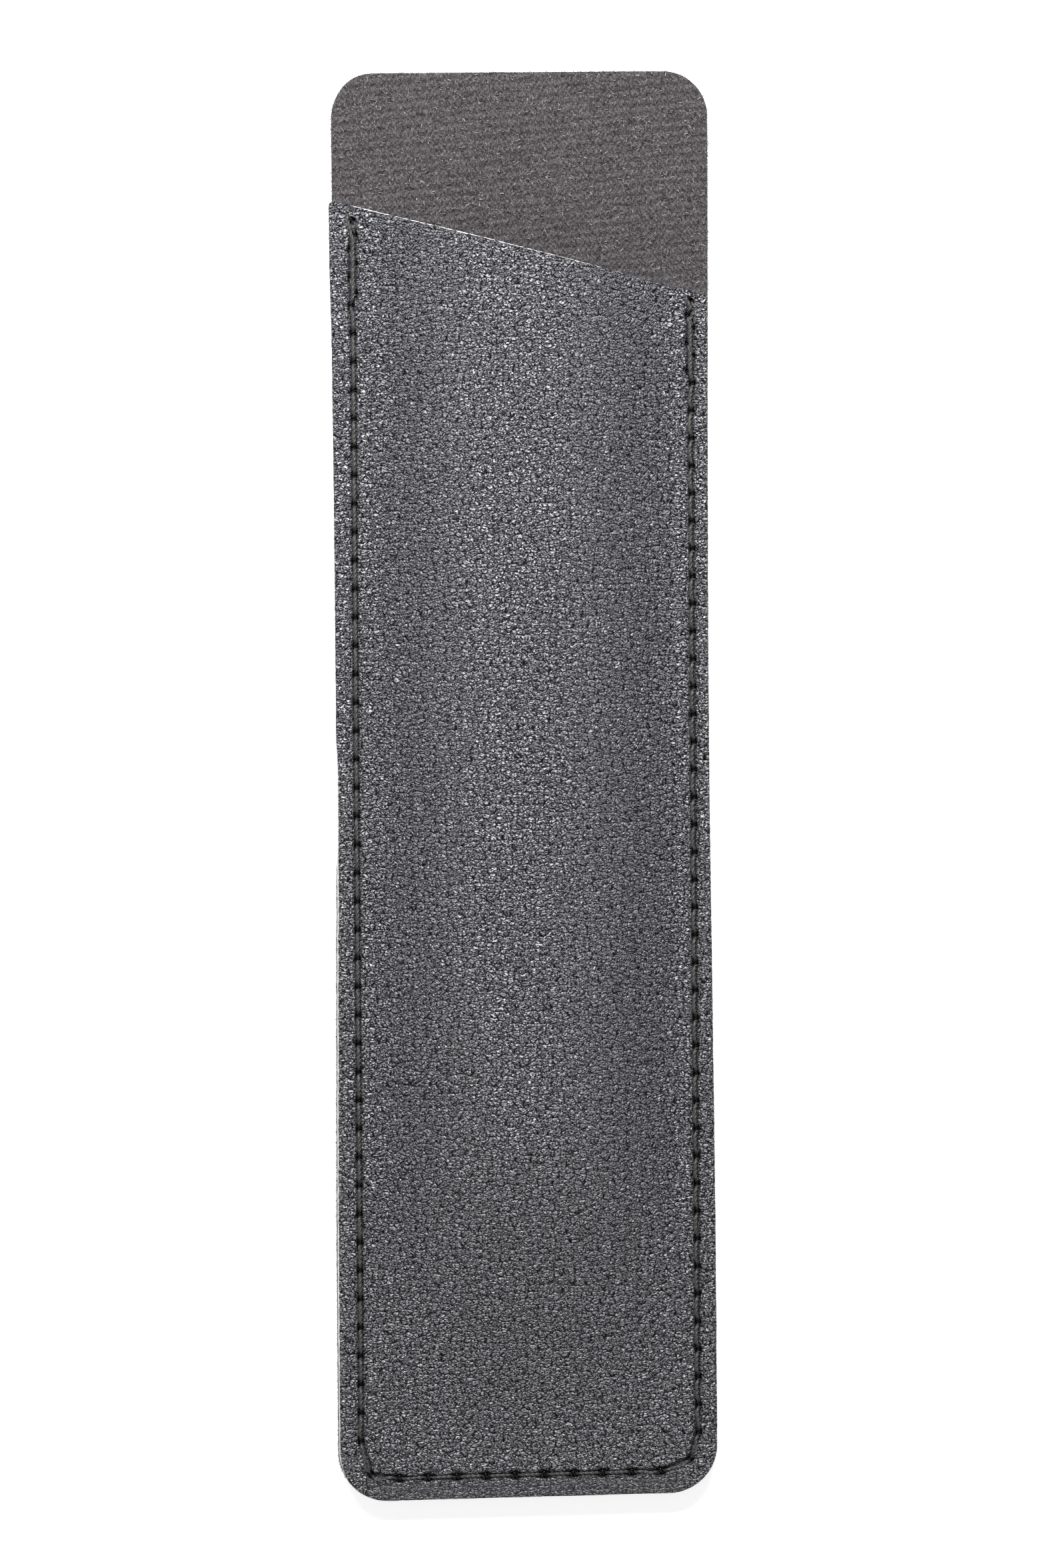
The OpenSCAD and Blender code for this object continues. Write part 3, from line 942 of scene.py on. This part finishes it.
def new_tree(name, inputs):
    """A Geometry Nodes tree with a geometry input, named inputs and a geometry output."""
    tree = bpy.data.node_groups.new(name, "GeometryNodeTree")
    tree.interface.new_socket("Geometry", in_out="INPUT", socket_type="NodeSocketGeometry")
    for label, kind in inputs:
        tree.interface.new_socket(label, in_out="INPUT", socket_type=kind)
    tree.interface.new_socket("Geometry", in_out="OUTPUT", socket_type="NodeSocketGeometry")
    return tree, add_node(tree, "NodeGroupInput").outputs


def close_tree(tree, geometry_socket, material):
    """Ends a tree in Realize Instances and Set Material."""
    real = add_node(tree, "GeometryNodeRealizeInstances", {0: geometry_socket})
    painted = add_node(tree, "GeometryNodeSetMaterial", {"Geometry": real.outputs[0], "Material": material})
    add_node(tree, "NodeGroupOutput", {0: painted.outputs[0]})


def thread_tree():
    """Sweeps a three-lobed section along a path and twists it by the thread's lay."""
    floats = [(label, "NodeSocketFloat") for label in ("Lay", "Ring Step", "Lobe Depth")]
    tree, given = new_tree("Twisted thread", [*floats, ("Material", "NodeSocketMaterial")])
    plies = 3
    line = add_node(tree, "GeometryNodeMeshToCurve", {"Mesh": given["Geometry"]})
    girth = add_node(tree, "GeometryNodeInputNamedAttribute", values={"Name": "girth"}, data_type="FLOAT")
    thick = add_node(tree, "GeometryNodeSetCurveRadius",
                     {"Curve": line.outputs[0], "Radius": girth.outputs["Attribute"]})
    rings = add_node(tree, "GeometryNodeResampleCurve",
                     {"Curve": thick.outputs[0], "Length": given["Ring Step"]}, mode="LENGTH")
    along = add_node(tree, "GeometryNodeSplineParameter").outputs["Length"]
    angle = maths(tree, "MULTIPLY", maths(tree, "DIVIDE", along, given["Lay"]), 2 * math.pi)
    twisted = add_node(tree, "GeometryNodeSetCurveTilt", {"Curve": rings.outputs[0], "Tilt": angle})
    marked = add_node(tree, "GeometryNodeStoreNamedAttribute",
                      {"Geometry": twisted.outputs[0], "Value": along}, {"Name": "along"},
                      data_type="FLOAT", domain="POINT")

    circle = add_node(tree, "GeometryNodeCurvePrimitiveCircle",
                      values={"Resolution": THREAD_SIDES, "Radius": 1.0})
    share = maths(tree, "DIVIDE", add_node(tree, "GeometryNodeInputIndex").outputs[0], THREAD_SIDES)
    wave = maths(tree, "COSINE", maths(tree, "MULTIPLY", share, 2 * math.pi * plies))
    factor = maths(tree, "MULTIPLY_ADD", maths(tree, "ADD", wave, -1.0), given["Lobe Depth"], 1.0)
    place = add_node(tree, "GeometryNodeInputPosition").outputs[0]
    lobed = add_node(tree, "ShaderNodeVectorMath", {0: place, "Scale": factor}, operation="SCALE")
    section = add_node(tree, "GeometryNodeSetPosition",
                       {"Geometry": circle.outputs["Curve"], "Position": lobed.outputs[0]})
    named = add_node(tree, "GeometryNodeStoreNamedAttribute",
                     {"Geometry": section.outputs[0], "Value": share}, {"Name": "around"},
                     data_type="FLOAT", domain="POINT")

    radius = add_node(tree, "GeometryNodeInputRadius").outputs[0]
    swept = add_node(tree, "GeometryNodeCurveToMesh",
                     {"Curve": marked.outputs[0], "Profile Curve": named.outputs[0], "Scale": radius},
                     {"Fill Caps": True})
    soft = add_node(tree, "GeometryNodeSetShadeSmooth", {"Geometry": swept.outputs[0]})
    close_tree(tree, soft.outputs[0], given["Material"])
    return tree


def fibre_tree():
    """Scatters short bent fibres over a surface, leaning at random."""
    floats = [(label, "NodeSocketFloat") for label in ("Density", "Length", "Radius", "Lean")]
    tree, given = new_tree("Scattered fibres", [*floats, ("Seed", "NodeSocketInt"),
                                                ("Material", "NodeSocketMaterial")])
    spots = add_node(tree, "GeometryNodeDistributePointsOnFaces",
                     {"Mesh": given["Geometry"], "Density": given["Density"], "Seed": given["Seed"]})
    bow = add_node(tree, "GeometryNodeCurveQuadraticBezier",
                   values={"Resolution": 3, "Start": (0, 0, 0), "Middle": (0.05, 0, 0.5),
                           "End": (0.45, 0, 0.8)})
    thin = maths(tree, "DIVIDE", given["Radius"], given["Length"])
    section = add_node(tree, "GeometryNodeCurvePrimitiveCircle", {"Radius": thin}, {"Resolution": 3})
    fibre = add_node(tree, "GeometryNodeCurveToMesh",
                     {"Curve": bow.outputs[0], "Profile Curve": section.outputs["Curve"]},
                     {"Fill Caps": True})
    lean_up = add_node(tree, "ShaderNodeCombineXYZ", {"X": given["Lean"], "Y": given["Lean"]},
                       {"Z": 2 * math.pi})
    lean_down = add_node(tree, "ShaderNodeVectorMath", {0: lean_up.outputs[0]}, {"Scale": -1.0},
                         operation="SCALE")
    leaning = add_node(tree, "FunctionNodeRandomValue",
                       {"Min": lean_down.outputs[0], "Max": lean_up.outputs[0], "Seed": given["Seed"]},
                       data_type="FLOAT_VECTOR")
    spin = add_node(tree, "FunctionNodeEulerToRotation", {0: leaning.outputs[0]})
    stood = add_node(tree, "FunctionNodeRotateRotation",
                     {"Rotation": spots.outputs["Rotation"], "Rotate By": spin.outputs[0]},
                     rotation_space="LOCAL")
    small = maths(tree, "MULTIPLY", given["Length"], 0.6)
    large = maths(tree, "MULTIPLY", given["Length"], 1.4)
    size = add_node(tree, "FunctionNodeRandomValue", {"Min": small, "Max": large, "Seed": given["Seed"]},
                    data_type="FLOAT")
    placed = add_node(tree, "GeometryNodeInstanceOnPoints",
                      {"Points": spots.outputs["Points"], "Instance": fibre.outputs[0],
                       "Rotation": stood.outputs[0], "Scale": size.outputs["Value"]})
    close_tree(tree, placed.outputs[0], given["Material"])
    return tree


def grown(name, carrier, tree, values):
    """Runs a tree on a carrier mesh and returns the result as a plain mesh piece."""
    holder = bpy.data.objects.new(name + "_path", carrier)
    bpy.context.scene.collection.objects.link(holder)
    modifier = holder.modifiers.new("grow", "NODES")
    modifier.node_group = tree
    sockets = {s.name: s.identifier for s in tree.interface.items_tree if s.in_out == "INPUT"}
    for label, value in values.items():
        modifier[sockets[label]] = value
    bpy.context.view_layer.update()
    evaluated = holder.evaluated_get(bpy.context.evaluated_depsgraph_get())
    mesh = bpy.data.meshes.new_from_object(evaluated)
    holder.modifiers.remove(modifier)
    bpy.data.objects.remove(holder)
    mesh.name = name
    piece = bpy.data.objects.new(name, mesh)
    bpy.context.scene.collection.objects.link(piece)
    return piece


# Threads

def rounded_path(points, girth, cuts=5):
    """Points and girths along a smooth line through the given points."""
    padded = np.vstack([2 * points[0] - points[1], points, 2 * points[-1] - points[-2]])
    t = (np.arange(cuts) / cuts)[:, None]
    out, thick = [], []
    for k in range(1, len(padded) - 2):
        a, b, c, d = padded[k - 1:k + 3]
        out.append(0.5 * (2 * b + (c - a) * t + (2 * a - 5 * b + 4 * c - d) * t ** 2
                          + (3 * b - 3 * c + d - a) * t ** 3))
        thick.append(girth[k - 1] + (girth[k] - girth[k - 1]) * t[:, 0])
    out.append(points[-1:])
    thick.append(girth[-1:])
    return np.vstack(out), np.concatenate(thick)


def stitch_points(hole, face, inward, turn, low):
    """One dip of a thread into its hole: surface, down, round the other thread and up again."""
    sizes = bpy.context.scene.pen_sleeve_sizes
    at, heading, lean = hole
    r = sizes.thread_r
    crossed = turned(heading, turn)
    hook_z = MEET_Z + inward * HOOK
    top = face + inward * (sizes.groove_depth * (1 - 0.1 * low) - r + (0.02 + 0.05 * low) * MM)
    dip = [((1.0 + 0.1 * low) * MM, heading, lean, top, r),
           ((0.64 + 0.14 * low) * MM, heading, lean * 0.6, top + inward * 0.07 * MM, r * 0.9),
           ((0.36 + 0.1 * low) * MM, heading, lean * 0.2, top + inward * 0.36 * MM, LEG_R * 1.1),
           (LEG_OUT, crossed, lean * 0, hook_z - inward * 2.2 * HOOK, LEG_R),
           (0.34 * MM, crossed, lean * 0, hook_z - inward * 0.5 * LEG_R, LEG_R)]
    down = [((*(at - out * way + shift), z), g) for out, way, shift, z, g in dip]
    up = [((*(at + out * way + shift), z), g) for out, way, shift, z, g in reversed(dip)]
    return down + [((*at, hook_z), LEG_R)] + up


def sewn_thread(name, face, inward, turn):
    """One thread of the lockstitch, through every hole in sewing order."""
    sizes = bpy.context.scene.pen_sleeve_sizes
    low = bottom_row(HOLE_PATH)
    points, girth = [], []
    for i, hole in enumerate(HOLES):
        for place, thick in stitch_points(hole, face, inward, turn, low[i]):
            points.append(place)
            girth.append(thick)
    points, girth = points[3:-3], girth[3:-3]
    line, thick = rounded_path(np.array(points), np.array(girth))
    carrier = bpy.data.meshes.new(name + "_path")
    carrier.from_pydata(line.tolist(), [(k, k + 1) for k in range(len(line) - 1)], [])
    carrier.attributes.new("girth", "FLOAT", "POINT").data.foreach_set("value", thick.astype(np.float32))
    tree = bpy.data.node_groups.get("Twisted thread") or thread_tree()
    return grown(name, carrier, tree, {
        "Lay": sizes.lay, "Ring Step": 0.13 * MM, "Lobe Depth": 0.24,
        "Material": shared_material("spun_polyester_thread", spun_polyester)})


# Fibres

def area_mesh(name, loop, z, inset):
    """A flat mesh inside a closed line, for fibres to grow from."""
    loop = evenly(loop - outward(loop) * inset, 1.0 * MM)
    mesh = bpy.data.meshes.new(name)
    mesh.from_pydata([(x, y, z) for x, y in loop], [], [list(range(len(loop)))])
    return mesh


def band_mesh(name, panel, ply, choose):
    """A band along the cut edge of one ply, where chosen, for fibres to grow outwards from."""
    loop = rim(panel, ply + (panel == BACK))
    low, high = (FRONT_LEVELS if panel == FRONT else BACK_LEVELS)[ply:ply + 2]
    count = len(loop)
    keep = choose(loop)
    faces = [(k, (k + 1) % count, (k + 1) % count + count, k + count) for k in range(count) if keep[k]]
    mesh = bpy.data.meshes.new(name)
    mesh.from_pydata([(x, y, z) for z in (low, high) for x, y in loop], [], faces)
    return mesh


# Stage

def floor_material(colours):
    """Matt white board, lifted to white where it is seen, so that only the shadow shows."""
    material, tree = new_material("matt_white_board")
    lifted = maths(tree, "MULTIPLY", seen_directly(tree), FLOOR_LIFT)
    board = add_node(tree, "ShaderNodeBsdfDiffuse", values={"Color": colours.floor})
    glow = add_node(tree, "ShaderNodeEmission", {"Strength": lifted})
    add_output(tree, add_node(tree, "ShaderNodeAddShader", {0: board.outputs[0], 1: glow.outputs[0]}))
    return material


def add_floor(scene):
    """A wide board under the sleeve."""
    mesh = bpy.data.meshes.new("floor")
    ways = ((-1, -1), (1, -1), (1, 1), (-1, 1))
    corners = [(FLOOR_HALF * x, FLOOR_HALF * y, FLOOR_Z) for x, y in ways]
    mesh.from_pydata(corners, [], [(0, 1, 2, 3)])
    floor = bpy.data.objects.new("floor", mesh)
    scene.collection.objects.link(floor)
    mesh.materials.append(floor_material(scene.pen_sleeve_colours))


def add_world(scene):
    """White where it is seen, and a weak even light on the object."""
    world = bpy.data.worlds.new("studio")
    world.use_nodes = True
    scene.world = world
    tree = world.node_tree
    tree.nodes.clear()
    level = ranged(tree, seen_directly(tree), 0.0, 1.0, scene.pen_sleeve_stage.fill, 1.0)
    sky = add_node(tree, "ShaderNodeBackground", {"Strength": level}, {"Color": (1, 1, 1, 1)})
    add_node(tree, "ShaderNodeOutputWorld", {"Surface": sky.outputs[0]})


def add_key_light(scene):
    """A broad light from above and beyond the tongue's end."""
    key = bpy.data.lights.new("key_light", "AREA")
    key.shape = "RECTANGLE"
    key.size = KEY_W
    key.size_y = KEY_L
    key.energy = scene.pen_sleeve_stage.key_power
    lamp = bpy.data.objects.new("key_light", key)
    lamp.location = KEY_AT
    lamp.rotation_euler = (Vector(KEY_AIM) - Vector(KEY_AT)).to_track_quat("-Z", "Y").to_euler()
    scene.collection.objects.link(lamp)


def add_camera(scene):
    """The camera, looking straight down from high above."""
    stage = scene.pen_sleeve_stage
    camera = bpy.data.cameras.new("camera")
    camera.sensor_fit = "AUTO"
    camera.sensor_width = 36
    camera.lens = camera.sensor_width * stage.camera_z / stage.view_l
    camera.clip_start = 0.1
    camera.clip_end = 10
    body = bpy.data.objects.new("camera", camera)
    scene.collection.objects.link(body)
    body.location = (*CAMERA_OFF, FACE_Z + stage.camera_z)
    body.rotation_euler = (0, 0, CAMERA_TURN)
    scene.camera = body


class PENSLEEVE_OT_stage(bpy.types.Operator):
    """Sets up the floor, the light and the camera"""
    bl_idname = "pen_sleeve.stage"
    bl_label = "Stage"

    def execute(self, context):
        scene = context.scene
        add_floor(scene)
        add_world(scene)
        add_key_light(scene)
        add_camera(scene)
        scene.view_settings.view_transform = "Standard"
        return {"FINISHED"}


# Pieces

def finish_piece(piece, nodes, material=None):
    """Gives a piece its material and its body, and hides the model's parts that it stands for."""
    if material is not None:
        piece.data.materials.clear()
        piece.data.materials.append(material)
    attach(piece, BODY)
    if nodes:
        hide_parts(*nodes)


def build_panel(panel):
    """Builds one panel's skin, core and lining."""
    skin = skin_ply(panel + "_grain_skin", panel)
    finish_piece(skin, [panel + "_skin"],
                 shared_material("embossed_polyurethane_leatherette", embossed_leatherette))
    core = inner_ply(panel + "_foam_core", panel, 2, 1)
    finish_piece(core, [panel + "_core"], shared_material("foamed_core_cut_edge", foam_core))
    upper = 1 if panel == FRONT else 3
    lining = inner_ply(panel + "_brushed_lining", panel, upper, upper - 1)
    finish_piece(lining, [panel + "_lining"],
                 shared_material("brushed_polyester_knit", brushed_lining))


class PENSLEEVE_OT_back_panel(bpy.types.Operator):
    """Builds the back panel's skin, core and lining"""
    bl_idname = "pen_sleeve.back_panel"
    bl_label = "Back Panel"

    def execute(self, context):
        build_panel(BACK)
        return {"FINISHED"}


class PENSLEEVE_OT_front_panel(bpy.types.Operator):
    """Builds the front panel's skin, core and lining, raised over the pocket"""
    bl_idname = "pen_sleeve.front_panel"
    bl_label = "Front Panel"

    def execute(self, context):
        build_panel(FRONT)
        return {"FINISHED"}


class PENSLEEVE_OT_threads(bpy.types.Operator):
    """Sews the seam with its needle thread and its bobbin thread"""
    bl_idname = "pen_sleeve.threads"
    bl_label = "Threads"

    def execute(self, context):
        needle = sewn_thread("needle_strand", FACE_Z, -1, 45)
        finish_piece(needle, ["needle_thread"])
        bobbin = sewn_thread("bobbin_strand", 0.0, 1, -45)
        finish_piece(bobbin, ["bobbin_thread"])
        return {"FINISHED"}


class PENSLEEVE_OT_nap(bpy.types.Operator):
    """Grows the nap on the tongue and the fibres on the cut edges"""
    bl_idname = "pen_sleeve.nap"
    bl_label = "Nap and Fibres"

    def execute(self, context):
        grain = context.scene.pen_sleeve_grain
        colours = context.scene.pen_sleeve_colours
        tree = fibre_tree()
        cut = cut_line(BACK)
        bare = cut[cut[:, 1] > mouth_y(cut[:, 0]) + 0.1 * MM]
        nap = grown("tongue_nap", area_mesh("tongue", bare, MEET_Z, 0.12 * MM), tree, {
            "Density": grain.fibre_density / MM ** 2, "Length": grain.fibre_l, "Radius": grain.fibre_r,
            "Lean": 1.25, "Seed": 3,
            "Material": fibre_material("brushed_fibres", colours.fibre, "252123")})
        finish_piece(nap, [])
        tongue_edge = band_mesh("tongue_edge", BACK, 2, lambda loop: loop[:, 1] > mouth_y(loop[:, 0]))
        left_edge = band_mesh("left_edge", FRONT, 0, lambda loop: stuck_out(loop) > 0.3)
        fringe = fibre_material("cut_fibres", colours.edge, "2A2220")
        for name, band, reach in (("tongue_fringe", tongue_edge, 0.2 * MM),
                                  ("left_fringe", left_edge, 0.13 * MM)):
            fibres = grown(name, band, tree, {
                "Density": EDGE_FIBRES, "Length": reach, "Radius": EDGE_FIBRE_R, "Lean": 1.0, "Seed": 5,
                "Material": fringe})
            finish_piece(fibres, [])
        return {"FINISHED"}


class PENSLEEVE_PT_sidebar(bpy.types.Panel):
    """Lists the sleeve's sizes, colours and building steps"""
    bl_idname = "PENSLEEVE_PT_sidebar"
    bl_label = "Pen Sleeve"
    bl_space_type = "VIEW_3D"
    bl_region_type = "UI"
    bl_category = "Pen Sleeve"

    def draw(self, context):
        for group in (context.scene.pen_sleeve_sizes, context.scene.pen_sleeve_grain,
                      context.scene.pen_sleeve_colours, context.scene.pen_sleeve_stage):
            box = self.layout.box()
            for key in group.__annotations__:
                box.prop(group, key)
        for step in STEPS:
            self.layout.operator(step.bl_idname)


GROUPS = {"pen_sleeve_sizes": PenSleeveSizes, "pen_sleeve_grain": PenSleeveGrain,
          "pen_sleeve_colours": PenSleeveColours, "pen_sleeve_stage": PenSleeveStage}
STEPS = (PENSLEEVE_OT_stage, PENSLEEVE_OT_back_panel, PENSLEEVE_OT_front_panel, PENSLEEVE_OT_threads,
         PENSLEEVE_OT_nap)


def register():
    for name, group in GROUPS.items():
        bpy.utils.register_class(group)
        setattr(bpy.types.Scene, name, bpy.props.PointerProperty(type=group))
    for shown in (*STEPS, PENSLEEVE_PT_sidebar):
        bpy.utils.register_class(shown)


def unregister():
    for shown in (PENSLEEVE_PT_sidebar, *reversed(STEPS)):
        bpy.utils.unregister_class(shown)
    for name, group in reversed(GROUPS.items()):
        delattr(bpy.types.Scene, name)
        bpy.utils.unregister_class(group)


def main():
    register()
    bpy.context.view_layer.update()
    for step in STEPS:
        group, action = step.bl_idname.split(".")
        getattr(getattr(bpy.ops, group), action)()
    bpy.context.view_layer.update()


if __name__ == "__main__":
    main()
